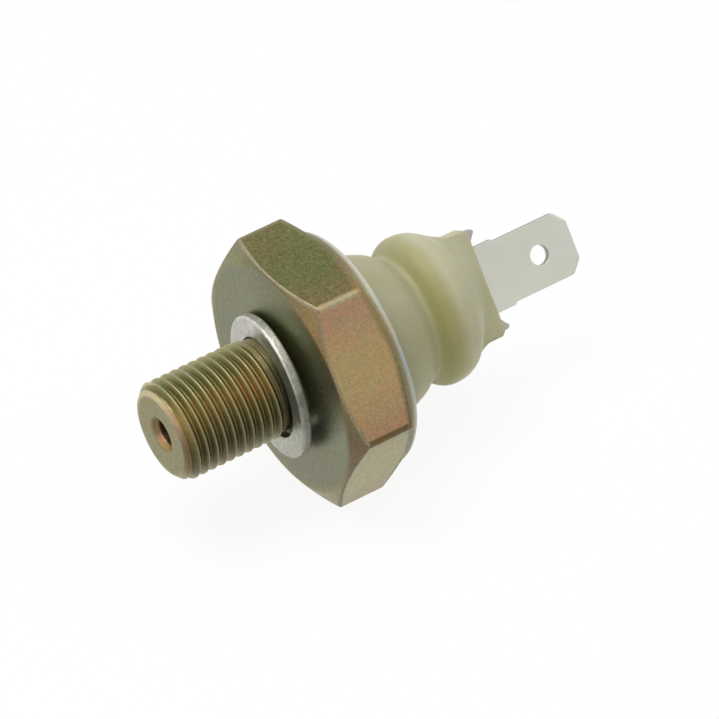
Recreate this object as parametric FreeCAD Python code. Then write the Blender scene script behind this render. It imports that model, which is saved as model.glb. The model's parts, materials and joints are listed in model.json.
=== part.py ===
"""Screw-in oil pressure switch with one blade terminal.

Millimetres. +X runs along the axis from the threaded stem to the blade's tip, +Z is up.
The origin is the centre of the sealing seat, the plane of the hexagon's front face.
The part lies on one flat of its hexagon.
"""
import FreeCAD, Part
import math
import os

# Threaded stem, in front of the seat
THREAD_DIA = 10.0
THREAD_PITCH = 1.0
STEM_LENGTH = 13.25
LEAD_CHAMFER = 0.8
RELIEF_RUNOUT = 0.55
PORT_DIA = 2.5
PORT_FLARE = 0.65
PORT_FLARE_DEPTH = 0.55

# Loose sealing washer, leaning in the relief
WASHER_WIDTH = 2.1
WASHER_THICKNESS = 1.0
WASHER_EDGE = 0.15
WASHER_LOOSENESS = 0.05
WASHER_HANG_GAP = 0.01
WASHER_LEAN = 4.2
WASHER_TOUCH_GAP = 0.08
RELIEF_MARGIN = 0.25

# Hexagon
HEX_SIDES = 6
ACROSS_FLATS = 24.0
HEX_LENGTH = 6.7
HEX_CHAMFER_ANGLE = 27.0
HEX_EDGE_ROUND = 0.55
SEAT_INSET = 0.2

# Cavity behind the seat and the rolled rim
FLOOR_THICKNESS = 2.6
CHAMBER_MARGIN = 1.0
CHAMBER_DEPTH = 0.8
RIM_STEP = 0.05
RIM_WALL = 1.05
RIM_ROLL = 1.15
LIP_THICKNESS = 1.05
LIP_GAP = 0.15

# Seal and films
SEAL_LAND = 1.2
SEAL_WIDTH = 2.0
SEAL_THICKNESS = 0.7
SEAL_CLEARANCE = 0.1
FILM_THICKNESS = 0.15
FILM_MARGIN = 0.6

# Contact stack
PLUNGER_HEAD_INSET = 0.2
PLUNGER_HEAD_THICKNESS = 0.55
PLUNGER_REST_GAP = 0.05
SPIGOT_SHOULDER = 0.6
SPIGOT_LENGTH = 0.9
STROKE = 0.4
STOP_GAP = 0.1
RUNNING_CLEARANCE = 0.06
RECESS_CLEARANCE = 0.4
CONTACT_WEB = 0.5
RING_CLEARANCE = 0.03
DISC_THICKNESS = 0.4
DISC_LIFT = 0.25
BUTTON_DIA = 1.0
BUTTON_MARGIN = 0.3
BUTTON_SHANK_DIA = 0.6
BUTTON_RIVET_HEIGHT = 0.15
BUTTON_COUNT = 3

# Insulator, its length as a chain of stretches from the flange to the rear end
FLANGE_THICKNESS = 2.4
FLANGE_CLEARANCE = 0.1
BASE_DIA = 16.5
BASE_LENGTH = 3.0
BASE_ROUND = 3.0
SHOULDER_DIA = 14.7
SHOULDER_RUN = 2.3
SHOULDER_ROUND = 2.0
GROOVE_DIA = 12.3
GROOVE_RUN = 1.6
CREST_DIA = 15.2
CREST_RUN = 1.35
CREST_ROUND = 1.8
CREST_LENGTH = 1.85
CONE_ROUND = 3.0
CONE_RUN = 3.8
REAR_LENGTH = 2.0
REAR_CHAMFER = 0.5
REAR_WALL = 0.7
INSULATOR_WALL = 0.85
NECK_WALL = 0.4
CROSSBAR_LEAD = 0.6

# Spring, cup and shim
SPRING_GAP = 0.5
CUP_WALL = 0.4
CUP_DEPTH = 1.6
WIRE_DIA = 0.6
WIRE_SIDES = 8
SPRING_SIDE_GAP = 0.15
SPRING_TURNS = 5.0
SHIM_THICKNESS = 0.2
SHIM_INSET = 0.4
SHIM_HOLE_DIA = 4.0

# Terminal stamping, in a plane turned about the axis
BLADE_TURN = 32.0
BLADE_WIDTH = 6.3
BLADE_THICKNESS = 0.8
TAB_LENGTH = 7.9
TAB_CORNER = 1.1
TAB_BEVEL = 0.15
LATCH_HOLE_DIA = 2.0
LATCH_HOLE_FROM_TIP = 3.9
ROOT_LENGTH = 2.5
ROOT_SHOULDER = 0.23
CROSSBAR_LENGTH = 2.4
CLAW_INSET = 0.15
SLOT_WALL = 0.47
SLOT_CLEARANCE = 0.02
CLAW_HEIGHT = 0.95
CLAW_TIP = 0.25

# Radii that follow from the sizes above
thread_r = THREAD_DIA / 2
pitch_line_depth = THREAD_PITCH * 3 * math.sqrt(3) / 16
relief_r = thread_r - pitch_line_depth
washer_bore_r = thread_r + WASHER_LOOSENESS
washer_r = washer_bore_r + WASHER_WIDTH
washer_drop = washer_bore_r - relief_r - WASHER_HANG_GAP
port_r = PORT_DIA / 2
flat_r = ACROSS_FLATS / 2
corner_r = flat_r / math.cos(math.pi / HEX_SIDES)
seat_r = flat_r - SEAT_INSET
rim_r = flat_r - RIM_STEP
cavity_r = rim_r - RIM_WALL
film_r = cavity_r - FILM_MARGIN
ring_r = cavity_r - RING_CLEARANCE
flange_r = cavity_r - FLANGE_CLEARANCE
base_r = BASE_DIA / 2
shoulder_r = SHOULDER_DIA / 2
groove_r = GROOVE_DIA / 2
crest_r = CREST_DIA / 2
bore_r = groove_r - INSULATOR_WALL
disc_r = bore_r - SPRING_GAP
head_r = disc_r - PLUNGER_HEAD_INSET
recess_r = head_r + RECESS_CLEARANCE
chamber_r = head_r + CHAMBER_MARGIN
seal_inner_r = chamber_r + SEAL_LAND + SEAL_CLEARANCE
seal_outer_r = seal_inner_r + SEAL_WIDTH
cup_r = bore_r - SPRING_GAP
cup_inner_r = cup_r - CUP_WALL
wire_r = WIRE_DIA / 2
coil_r = cup_inner_r - SPRING_SIDE_GAP - wire_r
button_r = BUTTON_DIA / 2
button_circle_r = coil_r - wire_r - BUTTON_MARGIN - button_r
plunger_stem_r = button_circle_r - button_r - BUTTON_MARGIN
spigot_r = plunger_stem_r - SPIGOT_SHOULDER
claw_outer = bore_r - CLAW_INSET
root_half = BLADE_WIDTH / 2 + ROOT_SHOULDER
claw_inner = root_half + SLOT_WALL
neck_r = claw_outer + NECK_WALL
rear_half = BLADE_THICKNESS / 2 + REAR_WALL

# Stations along the axis
lean = math.radians(WASHER_LEAN)
washer_x = -(WASHER_THICKNESS / 2 * math.cos(lean) + washer_r * math.sin(lean) + WASHER_TOUCH_GAP)
washer_bore_reach = WASHER_THICKNESS / 2 + washer_bore_r * math.sin(lean)
relief_x = washer_x - washer_bore_reach - RELIEF_MARGIN
stem_end_x = -STEM_LENGTH
chamfer_slope = math.tan(math.radians(HEX_CHAMFER_ANGLE))
floor_x = FLOOR_THICKNESS
chamber_x = floor_x - CHAMBER_DEPTH
film_inner_x = floor_x
film_outer_x = film_inner_x + FILM_THICKNESS
ring_x = film_outer_x + FILM_THICKNESS
head_x = ring_x + PLUNGER_REST_GAP
recess_depth = PLUNGER_REST_GAP + PLUNGER_HEAD_THICKNESS + STROKE + STOP_GAP
contact_x = ring_x + recess_depth + CONTACT_WEB
disc_x = contact_x + DISC_LIFT
disc_top_x = disc_x + DISC_THICKNESS
flange_x = contact_x
flange_rear_x = flange_x + FLANGE_THICKNESS
rim_end_x = flange_rear_x + LIP_THICKNESS
base_end_x = flange_rear_x + BASE_LENGTH
shoulder_x = base_end_x + SHOULDER_RUN
groove_x = shoulder_x + GROOVE_RUN
crest_x = groove_x + CREST_RUN
cone_x = crest_x + CREST_LENGTH
neck_x = cone_x + CONE_RUN
rear_x = neck_x + REAR_LENGTH
crossbar_x = groove_x - CROSSBAR_LEAD
shim_x = crossbar_x - SHIM_THICKNESS
cup_floor_x = shim_x - CUP_WALL
root_x = crossbar_x + CROSSBAR_LENGTH
tab_x = rear_x + ROOT_LENGTH
tip_x = tab_x + TAB_LENGTH
latch_hole_x = tip_x - LATCH_HOLE_FROM_TIP
overrun = ACROSS_FLATS

JOIN_TOLERANCE = 1e-7
X_AXIS = FreeCAD.Vector(1, 0, 0)
ORIGIN = FreeCAD.Vector(0, 0, 0)


def at(x, r):
    """Point of a half section: x along the axis, r away from it."""
    return FreeCAD.Vector(x, r, 0)


def fillet_ends(before, corner, after, fillet):
    """Start, middle and end of the arc that rounds a corner; it stays shorter than half its sides."""
    back = before - corner
    ahead = after - corner
    turn = math.pi - back.getAngle(ahead)
    reach = min(fillet * math.tan(turn / 2), back.Length / 2, ahead.Length / 2)
    back.normalize()
    ahead.normalize()
    if reach == 0:
        return corner, corner, corner
    radius = reach / math.tan(turn / 2)
    inward = (back + ahead).normalize()
    middle = corner + inward * (radius / math.cos(turn / 2) - radius)
    return corner + back * reach, middle, corner + ahead * reach


def rounded(points):
    """Closed chain of edges through (x, r, fillet) corners."""
    corners = [at(x, r) for x, r, fillet in points]
    arcs = []
    for number, corner in enumerate(corners):
        after = corners[(number + 1) % len(corners)]
        arcs.append(fillet_ends(corners[number - 1], corner, after, points[number][2]))
    edges = []
    for number, (first, middle, last) in enumerate(arcs):
        start = arcs[number - 1][2]
        if not start.isEqual(first, JOIN_TOLERANCE):
            edges.append(Part.LineSegment(start, first).toShape())
        if not first.isEqual(last, JOIN_TOLERANCE):
            edges.append(Part.Arc(first, middle, last).toShape())
    return edges


def revolve_rounded(points):
    """Solid turned about the axis from (x, r, fillet) corners."""
    face = Part.Face(Part.Wire(rounded(points)))
    return face.revolve(ORIGIN, X_AXIS, 360)


def revolve(points):
    """Solid turned about the axis from a closed polygon of (x, r) pairs."""
    return revolve_rounded([(x, r, 0) for x, r in points])


def disc(x, length, radius):
    """Plain cylinder on the axis."""
    return Part.makeCylinder(radius, length, at(x, 0), X_AXIS)


def ring(x, length, inner, outer):
    """Flat ring on the axis."""
    return disc(x, length, outer).cut(disc(x, length, inner))


def in_blade_plane(points, thickness):
    """Plate cut to a polygon of (x, w) pairs; w runs across the blade, centred on the axis."""
    half = thickness / 2
    closed = [FreeCAD.Vector(x, -half, w) for x, w in points]
    closed.append(closed[0])
    return Part.Face(Part.makePolygon(closed)).extrude(FreeCAD.Vector(0, thickness, 0))


def turned(shape):
    """The shape turned about the axis into the terminal's plane."""
    shape = shape.copy()
    shape.rotate(ORIGIN, X_AXIS, -BLADE_TURN)
    return shape


def export(name, shape):
    """Writes one piece to its own file."""
    shape.exportStep("parts/" + name + ".step")


def stem():
    """Threaded stem at its major diameter, with lead chamfer; the relief is at the pitch diameter."""
    return revolve([
        (stem_end_x, 0),
        (stem_end_x, thread_r - LEAD_CHAMFER),
        (stem_end_x + LEAD_CHAMFER, thread_r),
        (relief_x - RELIEF_RUNOUT, thread_r),
        (relief_x, relief_r),
        (chamber_x / 2, relief_r),
        (chamber_x / 2, 0),
    ])


def hexagon():
    """Hexagon bar with rounded edges and a flat below, both ends turned off by a cone."""
    corners = []
    for number in range(HEX_SIDES + 1):
        angle = (number + 1 / 2) * 2 * math.pi / HEX_SIDES
        corners.append(FreeCAD.Vector(0, corner_r * math.sin(angle), corner_r * math.cos(angle)))
    prism = Part.Face(Part.makePolygon(corners)).extrude(X_AXIS * HEX_LENGTH)
    long_edges = [edge for edge in prism.Edges if edge.BoundBox.XLength > HEX_LENGTH / 2]
    prism = prism.makeFillet(HEX_EDGE_ROUND, long_edges)
    outside_r = corner_r + overrun
    envelope = revolve([
        (0, 0),
        (0, seat_r),
        ((outside_r - seat_r) * chamfer_slope, outside_r),
        (HEX_LENGTH, outside_r),
        (HEX_LENGTH, 0),
    ])
    rear = revolve([
        (HEX_LENGTH, 0),
        (HEX_LENGTH, flat_r),
        (HEX_LENGTH - (outside_r - flat_r) * chamfer_slope, outside_r),
        (-overrun, outside_r),
        (-overrun, 0),
    ])
    return prism.common(envelope).common(rear)


def rim():
    """Thin wall behind the hexagon, its end rolled inwards over the insulator's flange."""
    start_x = HEX_LENGTH / 2
    return revolve_rounded([
        (start_x, 0, 0),
        (start_x, rim_r, 0),
        (rim_end_x, rim_r, RIM_ROLL),
        (rim_end_x, 0, 0),
    ])


def oil_way():
    """Port with its flared mouth, and the shallow chamber under the films."""
    return revolve([
        (stem_end_x, 0),
        (stem_end_x, port_r + PORT_FLARE),
        (stem_end_x + PORT_FLARE_DEPTH, port_r),
        (chamber_x, port_r),
        (chamber_x, chamber_r),
        (floor_x, chamber_r),
        (floor_x, 0),
    ])


def housing():
    """Turned body: stem, hexagon, cavity and rolled rim in one piece."""
    body = stem().fuse(hexagon()).fuse(rim())
    cavity = disc(floor_x, flange_rear_x - floor_x, cavity_r)
    mouth = disc(flange_rear_x, overrun, base_r + LIP_GAP)
    gland = ring(
        floor_x - SEAL_THICKNESS,
        SEAL_THICKNESS,
        seal_inner_r - SEAL_CLEARANCE,
        seal_outer_r + SEAL_CLEARANCE,
    )
    return body.cut(oil_way().fuse(cavity).fuse(mouth).fuse(gland)).removeSplitter()


def sealing_washer():
    """Flat ring with broken edges, hanging low in the relief and leaning on the seat."""
    half = WASHER_THICKNESS / 2
    shape = revolve([
        (-half, washer_bore_r),
        (-half, washer_r - WASHER_EDGE),
        (WASHER_EDGE - half, washer_r),
        (half - WASHER_EDGE, washer_r),
        (half, washer_r - WASHER_EDGE),
        (half, washer_bore_r),
    ])
    shape.rotate(ORIGIN, FreeCAD.Vector(0, 0, 1), -WASHER_LEAN)
    shape.translate(FreeCAD.Vector(washer_x, 0, -washer_drop))
    return shape


def seal_ring():
    """Flat rubber ring filling its gland up to the cavity floor."""
    return ring(floor_x - SEAL_THICKNESS, SEAL_THICKNESS, seal_inner_r, seal_outer_r)


def contact_ring():
    """Earthed ring over the films, hollowed for the plunger's head and bored for its stem."""
    blank = disc(ring_x, contact_x - ring_x, ring_r)
    recess = disc(ring_x, recess_depth, recess_r)
    hole = disc(ring_x, contact_x - ring_x, plunger_stem_r + RUNNING_CLEARANCE)
    return blank.cut(recess).cut(hole)


def plunger():
    """Moulded button: head on the films, stem through the ring, spigot through the moving contact."""
    head_top = head_x + PLUNGER_HEAD_THICKNESS
    spigot_end = disc_x + SPIGOT_LENGTH
    return revolve([
        (head_x, 0),
        (head_x, head_r),
        (head_top, head_r),
        (head_top, plunger_stem_r),
        (disc_x, plunger_stem_r),
        (disc_x, spigot_r),
        (spigot_end, spigot_r),
        (spigot_end, 0),
    ])


def button_centres():
    """Places of the contact rivets, midway between the plunger's stem and the spring."""
    for number in range(BUTTON_COUNT):
        angle = 2 * math.pi * number / BUTTON_COUNT
        yield FreeCAD.Vector(0, math.sin(angle), math.cos(angle)) * button_circle_r


def contact_disc():
    """Moving contact, pierced for the plunger's spigot and the rivets."""
    shape = ring(disc_x, DISC_THICKNESS, spigot_r, disc_r)
    for centre in button_centres():
        hole = disc(disc_x, DISC_THICKNESS, BUTTON_SHANK_DIA / 2)
        hole.translate(centre)
        shape = shape.cut(hole)
    return shape


def contact_button(centre):
    """Silver rivet: contact head below the moving contact, rivet head above it."""
    shank_r = BUTTON_SHANK_DIA / 2
    rivet = revolve([
        (contact_x, 0),
        (contact_x, button_r),
        (disc_x, button_r),
        (disc_x, shank_r),
        (disc_top_x, shank_r),
        (disc_top_x, button_r),
        (disc_top_x + BUTTON_RIVET_HEIGHT, shank_r),
        (disc_top_x + BUTTON_RIVET_HEIGHT, 0),
    ])
    rivet.translate(centre)
    return rivet


def insulator_body():
    """Turned outside of the moulding: flange, domed base, groove, bulge and cone."""
    return revolve_rounded([
        (flange_x, 0, 0),
        (flange_x, flange_r, 0),
        (flange_rear_x, flange_r, 0),
        (flange_rear_x, base_r, 0),
        (base_end_x, base_r, BASE_ROUND),
        (shoulder_x, shoulder_r, SHOULDER_ROUND),
        (groove_x, groove_r, 0),
        (crest_x, crest_r, CREST_ROUND),
        (cone_x, crest_r, CONE_ROUND),
        (neck_x, neck_r, 0),
        (neck_x, 0, 0),
    ])


def rear_block():
    """Neck carried on to the rear end between two flats that lie along the blade."""
    start = neck_x - REAR_LENGTH / 2
    outline = [
        (start, -neck_r),
        (rear_x - REAR_CHAMFER, -neck_r),
        (rear_x, REAR_CHAMFER - neck_r),
        (rear_x, neck_r - REAR_CHAMFER),
        (rear_x - REAR_CHAMFER, neck_r),
        (start, neck_r),
    ]
    slab = in_blade_plane(outline, 2 * rear_half)
    return turned(slab).common(disc(start, rear_x - start, neck_r))


def slots():
    """Ways for the crossbar, the blade's root and the two claws."""
    wide = BLADE_THICKNESS + 2 * SLOT_CLEARANCE
    root = root_half + SLOT_CLEARANCE
    inner = claw_inner - SLOT_CLEARANCE
    outer = claw_outer + SLOT_CLEARANCE
    bands = [
        (crossbar_x - SHIM_THICKNESS, root_x, -outer, outer),
        (root_x, rear_x + overrun, -root, root),
        (root_x, rear_x + overrun, inner, outer),
        (root_x, rear_x + overrun, -outer, -inner),
    ]
    cutters = []
    for start, end, low, high in bands:
        cutters.append(in_blade_plane([(start, low), (end, low), (end, high), (start, high)], wide))
    return turned(cutters[0].fuse(cutters[1:]))


def insulator():
    """Cream moulding with the spring bore in front and the terminal's slots behind."""
    body = insulator_body().fuse(rear_block())
    bore = disc(flange_x, crossbar_x - flange_x, bore_r)
    return body.cut(bore.fuse(slots())).removeSplitter()


def terminal_outline():
    """Half outline of the stamping, from the crossbar's front edge to the tip, w positive."""
    blade_half = BLADE_WIDTH / 2
    step = ROOT_SHOULDER / 2
    claw_x = rear_x + CLAW_HEIGHT
    return [
        (crossbar_x, claw_outer),
        (claw_x - CLAW_TIP, claw_outer),
        (claw_x, claw_outer - CLAW_TIP),
        (claw_x - CLAW_TIP / 2, claw_outer - 2 * CLAW_TIP),
        (rear_x, claw_inner),
        (root_x, claw_inner),
        (root_x, root_half),
        (tab_x - step, root_half),
        (tab_x, blade_half),
        (tip_x - TAB_CORNER, blade_half),
        (tip_x, blade_half - TAB_CORNER),
    ]


def terminal():
    """Blade, shoulders, crossbar and claws, stamped from one strip, with bevelled tip edges."""
    upper = terminal_outline()
    lower = [(x, -w) for x, w in reversed(upper)]
    plate = in_blade_plane(upper + lower, BLADE_THICKNESS)
    tip_edges = []
    for edge in plate.Edges:
        box = edge.BoundBox
        along_tip = box.XMin > tip_x - TAB_CORNER - TAB_BEVEL
        across = box.YLength < TAB_BEVEL
        if along_tip and across:
            tip_edges.append(edge)
    plate = plate.makeChamfer(TAB_BEVEL, tip_edges)
    centre = FreeCAD.Vector(latch_hole_x, -BLADE_THICKNESS, 0)
    hole = Part.makeCylinder(LATCH_HOLE_DIA / 2, 2 * BLADE_THICKNESS, centre, FreeCAD.Vector(0, 1, 0))
    return turned(plate.cut(hole))


def spring():
    """Compression spring between the moving contact and the cup, its round wire eight-sided."""
    start = disc_top_x + wire_r
    end = cup_floor_x - wire_r
    height = end - start
    helix = Part.makeHelix(height / SPRING_TURNS, height, coil_r)
    helix.Placement = FreeCAD.Placement(at(start, 0), FreeCAD.Rotation(FreeCAD.Vector(0, 0, 1), X_AXIS))
    first = helix.Vertexes[0].Point
    edge = helix.Edges[0]
    tangent = edge.tangentAt(edge.FirstParameter)
    outward = FreeCAD.Vector(0, first.y, first.z).normalize()
    corners = []
    for number in range(WIRE_SIDES + 1):
        turn = FreeCAD.Rotation(tangent, number * 360 / WIRE_SIDES)
        corners.append(first + turn.multVec(outward * wire_r))
    return Part.Wire(helix.Edges).makePipeShell([Part.makePolygon(corners)], True, True)


def spring_cup():
    """Drawn brass cup, open towards the spring."""
    blank = disc(cup_floor_x + CUP_WALL - CUP_DEPTH, CUP_DEPTH, cup_r)
    return blank.cut(disc(cup_floor_x - CUP_DEPTH, CUP_DEPTH, cup_inner_r))


def calibration_shim():
    """Thin washer between the cup and the crossbar."""
    return ring(shim_x, SHIM_THICKNESS, SHIM_HOLE_DIA / 2, cup_r - SHIM_INSET)


def main():
    """Builds and writes every piece."""
    os.makedirs("parts", exist_ok=True)
    export("housing", housing())
    export("sealing_washer", sealing_washer())
    export("seal_ring", seal_ring())
    export("diaphragm_inner", disc(film_inner_x, FILM_THICKNESS, film_r))
    export("diaphragm_outer", disc(film_outer_x, FILM_THICKNESS, film_r))
    export("contact_ring", contact_ring())
    export("plunger", plunger())
    export("contact_disc", contact_disc())
    for number, centre in enumerate(button_centres()):
        export("contact_button_" + str(number + 1), contact_button(centre))
    export("insulator", insulator())
    export("terminal", terminal())
    export("spring", spring())
    export("spring_cup", spring_cup())
    export("calibration_shim", calibration_shim())


main()
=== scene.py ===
"""Looks of the screw-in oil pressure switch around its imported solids, in metres and in their frame."""

import bmesh
import bpy
import json
import math
import numpy as np
from collections import namedtuple
from mathutils import Matrix, Vector


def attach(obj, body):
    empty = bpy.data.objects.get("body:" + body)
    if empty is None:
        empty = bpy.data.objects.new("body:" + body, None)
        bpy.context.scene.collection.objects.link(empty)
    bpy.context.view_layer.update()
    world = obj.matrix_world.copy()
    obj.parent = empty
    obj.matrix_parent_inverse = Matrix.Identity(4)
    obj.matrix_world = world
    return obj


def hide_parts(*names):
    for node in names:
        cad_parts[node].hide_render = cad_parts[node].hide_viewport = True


MM = 0.001
MM_PER_METRE = 1000.0
TINY = 1e-9
ROUND_STEPS = 180

# Half sections: support points beside the fillets, and what both may take of a straight stretch
SUPPORT = 0.06
SUPPORT_ROOM = 0.4
FILLET_ROOM = 0.96

# Housing, in millimetres, as its solid has it
THREAD_R = 5.0
RELIEF_R = 4.675
RELIEF_X = -2.22
STEM_END_X = -13.25
STEM_END_R = 4.2
PORT_R = 1.25
PORT_FLARE_R = 1.9
PORT_FLARE_X = -12.7
SEAT_R = 11.8
FLAT_R = 12.0
CHAMFER_SLOPE = math.tan(math.radians(27.0))
RIM_R = 11.95
RIM_END_X = 7.95
RIM_ROLL = 1.15
MOUTH_R = 8.4
FLANGE_REAR_X = 6.9
CAVITY_R = 10.9
FLOOR_X = 2.6
GLAND_R = (9.0, 6.8)
GLAND_X = 1.9
CHAMBER_R = 5.6
CHAMBER_X = 1.8

# Hexagon; columns are degrees from the middle of a flat, closer together at the rounded edges
HEX_LENGTH = 6.7
HEX_SIDES = 6
HEX_EDGE_ROUND = 0.55
HEX_ROUND_FROM = 28.84
HALF_SECTOR = 30.0
HEX_COLUMNS = (2.5, 5, 7.5, 10, 12.5, 15, 17.5, 20, 22, 24, 25.6, 27, 28, 28.6, 28.85, 29.1, 29.4, 29.7)
HEX_FRONT_ROWS = 6

# Thread skin, and the core of the stem under it
THREAD_PITCH = 1.0
THREAD_ROOT_R = 4.52
FIRST_CREST_X = -13.6
LAST_CREST_X = -1.9
ROOT_RISE_X = -3.35
RUNOUT_X = -2.77
CORE_R = 4.5
CORE_START_X = STEM_END_X + CORE_R - STEM_END_R
CORE_END_X = -2.4
HIDDEN_DEPTH = 0.03
HIDDEN_LENGTH = 0.5

# Half a pitch of the thread from root to crest: distance from the crest's middle, and radius
THREAD_PROFILE = (
    (0.5, THREAD_ROOT_R), (0.44, THREAD_ROOT_R + 0.012), (0.39, THREAD_ROOT_R + 0.05),
    (0.34, THREAD_ROOT_R + 0.11), (0.22, 4.78), (0.12, 4.93), (0.08, 4.98), (0.03, THREAD_R),
)

# Washer
WASHER_BORE_R = 5.05
WASHER_R = 7.15
WASHER_HALF = 0.5
WASHER_X = -1.102
WASHER_DROP = 0.365
WASHER_LEAN = 4.2

# Insulator
INSULATOR_BORE_R = 5.3
INSULATOR_FLOOR_X = 13.2
FLANGE_FRONT_X = 4.5
FLANGE_R = 10.8
BASE_R = 8.25
CONE_X = 17.0
CONE_R = 7.6
NECK_X = 20.8
NECK_R = 5.55
REAR_X = 22.8

# Fall of the insulator's cone onto its flat bar, and the rings and columns that draw the bar
BLEND_X = 17.9
BLEND_POWER = 1.6
BLEND_STEPS = 16
BAR_HALF = 1.1
BAR_SOFTNESS = 0.06
BAR_END_CHAMFER = 0.5
BAR_END_X = REAR_X - BAR_END_CHAMFER
BAR_RINGS_X = (22.36, 22.45, 22.58)
BAR_EDGE = 0.12
BAR_EDGE_STEPS = 3
REAR_RINGS = (0.8, 0.4, 0.02)
COLUMN_STEP = 3
BAR_SIDE_COLUMNS = (10.4, 11.1, 11.9, 12.8, 14)

# Terminal
BLADE_TURN = 32.0
BLADE_HALF_THICKNESS = 0.4
BLADE_HALF = 3.15
BLADE_EDGE = 0.05
ROOT_HALF = 3.38
CLAW_INNER = 3.85
CLAW_OUTER = 5.15
CLAW_LINE = CLAW_INNER + 0.02
CROSSBAR_X = 13.2
ROOT_X = 15.6
TAB_X = 25.3
TIP_X = 33.2
TIP_CORNER = 1.1
TIP_BEVEL = 0.45
TIP_THINNING = 0.35
TIP_LINE = TIP_X + BLADE_HALF - TIP_CORNER - TIP_BEVEL
LATCH_X = 29.3
LATCH_R = 1.0
LATCH_STEPS = 48

# Camera: rotation from part to camera as an axis times an angle, and its place
CAMERA_TURN = (-0.8893895, 0.1808527, 0.5776233)
CAMERA_OFFSET = (8.6647, 2.3280, 634.44)
CAMERA_SHIFT_X = -1.5
CAMERA_LENS = 339.09
CAMERA_CLIP = (0.01, 10.0)
SENSOR = 36.0

# Studio: white floor and surroundings, and soft lamps as name, place, aim, size and power
FLOOR_Z = -12.0
FLOOR_HALF = 1500.0
PAPER_TONE = 0.9
GLOW = 1.05
GLOW_SHARE = 0.86
AMBIENT = 0.3
LAMPS = (
    ("key_lamp", (-70, 60, 360), (5, 0, 0), 240, 0.62),
    ("fill_lamp", (-260, -160, 160), (0, 0, 0), 260, 0.1),
    ("rear_lamp", (200, -60, 280), (16, 0, 0), 260, 0.16),
)

# Usual spread of a noise's values
NOISE_LOW = 0.3
NOISE_HIGH = 0.7

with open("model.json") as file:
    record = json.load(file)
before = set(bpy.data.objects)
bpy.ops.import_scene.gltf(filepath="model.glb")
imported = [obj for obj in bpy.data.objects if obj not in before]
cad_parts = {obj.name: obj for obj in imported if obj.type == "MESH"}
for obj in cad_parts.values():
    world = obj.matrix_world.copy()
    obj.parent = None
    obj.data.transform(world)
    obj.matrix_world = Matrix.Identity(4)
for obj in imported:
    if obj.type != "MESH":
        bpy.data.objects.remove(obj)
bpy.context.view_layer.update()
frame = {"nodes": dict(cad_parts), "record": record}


def srgb(red, green, blue):
    """Linear colour from 0 to 255 display values."""
    out = []
    for value in (red, green, blue):
        c = value / 255
        out.append(c / 12.92 if c <= 0.04045 else ((c + 0.055) / 1.055) ** 2.4)
    return (out[0], out[1], out[2], 1.0)


def smoothstep(value):
    value = min(max(value, 0.0), 1.0)
    return value * value * (3 - 2 * value)


# Mesh helpers

def new_object(name, points, faces, tone=None, smooth=True):
    """Mesh object from points in millimetres and faces, with an optional colour at each point."""
    mesh = bpy.data.meshes.new(name)
    points = np.asarray(points, float) * MM
    mesh.from_pydata(points.tolist(), [], faces)
    mesh.validate()
    mesh.update()
    if tone is not None:
        layer = mesh.color_attributes.new("tone", "FLOAT_COLOR", "POINT")
        layer.data.foreach_set("color", np.asarray(tone, np.float32).ravel())
    mesh.polygons.foreach_set("use_smooth", [smooth] * len(mesh.polygons))
    piece = bpy.data.objects.new(name, mesh)
    bpy.context.scene.collection.objects.link(piece)
    return piece


def grid_faces(rows, columns, closed_rows=False):
    """Quads of a grid whose columns close around the axis."""
    faces = []
    for row in range(rows if closed_rows else rows - 1):
        here, there = row * columns, (row + 1) % rows * columns
        for column in range(columns):
            beside = (column + 1) % columns
            faces.append((here + column, there + column, there + beside, here + beside))
    return faces


def turned(x, r, angle):
    """Point at a radius and an angle about the axis, from +Y over +Z."""
    return x, r * math.cos(angle), r * math.sin(angle)


# Corner of a half section: steps divide its fillet, cuts divide the straight stretch after it
Corner = namedtuple("Corner", "x r fillet steps cuts region", defaults=("",))


def unit(vector):
    return vector / max(np.linalg.norm(vector), TINY)


def corner_turn(before, corner, after):
    """Unit vectors back and ahead from a corner, and the angle turned there."""
    back, ahead = unit(before - corner), unit(after - corner)
    return back, ahead, math.pi - math.acos(float(np.clip(back @ ahead, -1, 1)))


def corner_arc(before, corner, after, reach, steps, room):
    """Arc for one corner of a half section, with a support point on each side where there is room."""
    back, ahead, turn = corner_turn(before, corner, after)
    first, last = corner + back * reach, corner + ahead * reach
    radius = reach / max(math.tan(turn / 2), TINY)
    centre = corner + unit(back + ahead) * radius / max(math.cos(turn / 2), TINY)
    from_angle = math.atan2(*(first - centre)[::-1])
    sweep = math.atan2(*(last - centre)[::-1]) - from_angle
    sweep = (sweep + math.pi) % (2 * math.pi) - math.pi
    points = [first + back * min(SUPPORT, room[0])]
    for step in range(steps + 1):
        angle = from_angle + sweep * step / steps
        points.append(centre + radius * np.array((math.cos(angle), math.sin(angle))))
    points.append(last + ahead * min(SUPPORT, room[1]))
    return points


def fillet_reaches(corners, places, lengths):
    """How far each fillet reaches along both sides of its corner, shortened where two would meet."""
    count = len(corners)
    reaches = []
    for number, corner in enumerate(corners):
        turn = corner_turn(places[number - 1], places[number], places[(number + 1) % count])[2]
        reaches.append(corner.fillet * math.tan(turn / 2) if corner.steps else 0.0)
    for number, length in enumerate(lengths):
        following = (number + 1) % count
        share = min(1.0, FILLET_ROOM * length / max(reaches[number] + reaches[following], TINY))
        reaches[number] *= share
        reaches[following] *= share
    return reaches


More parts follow.
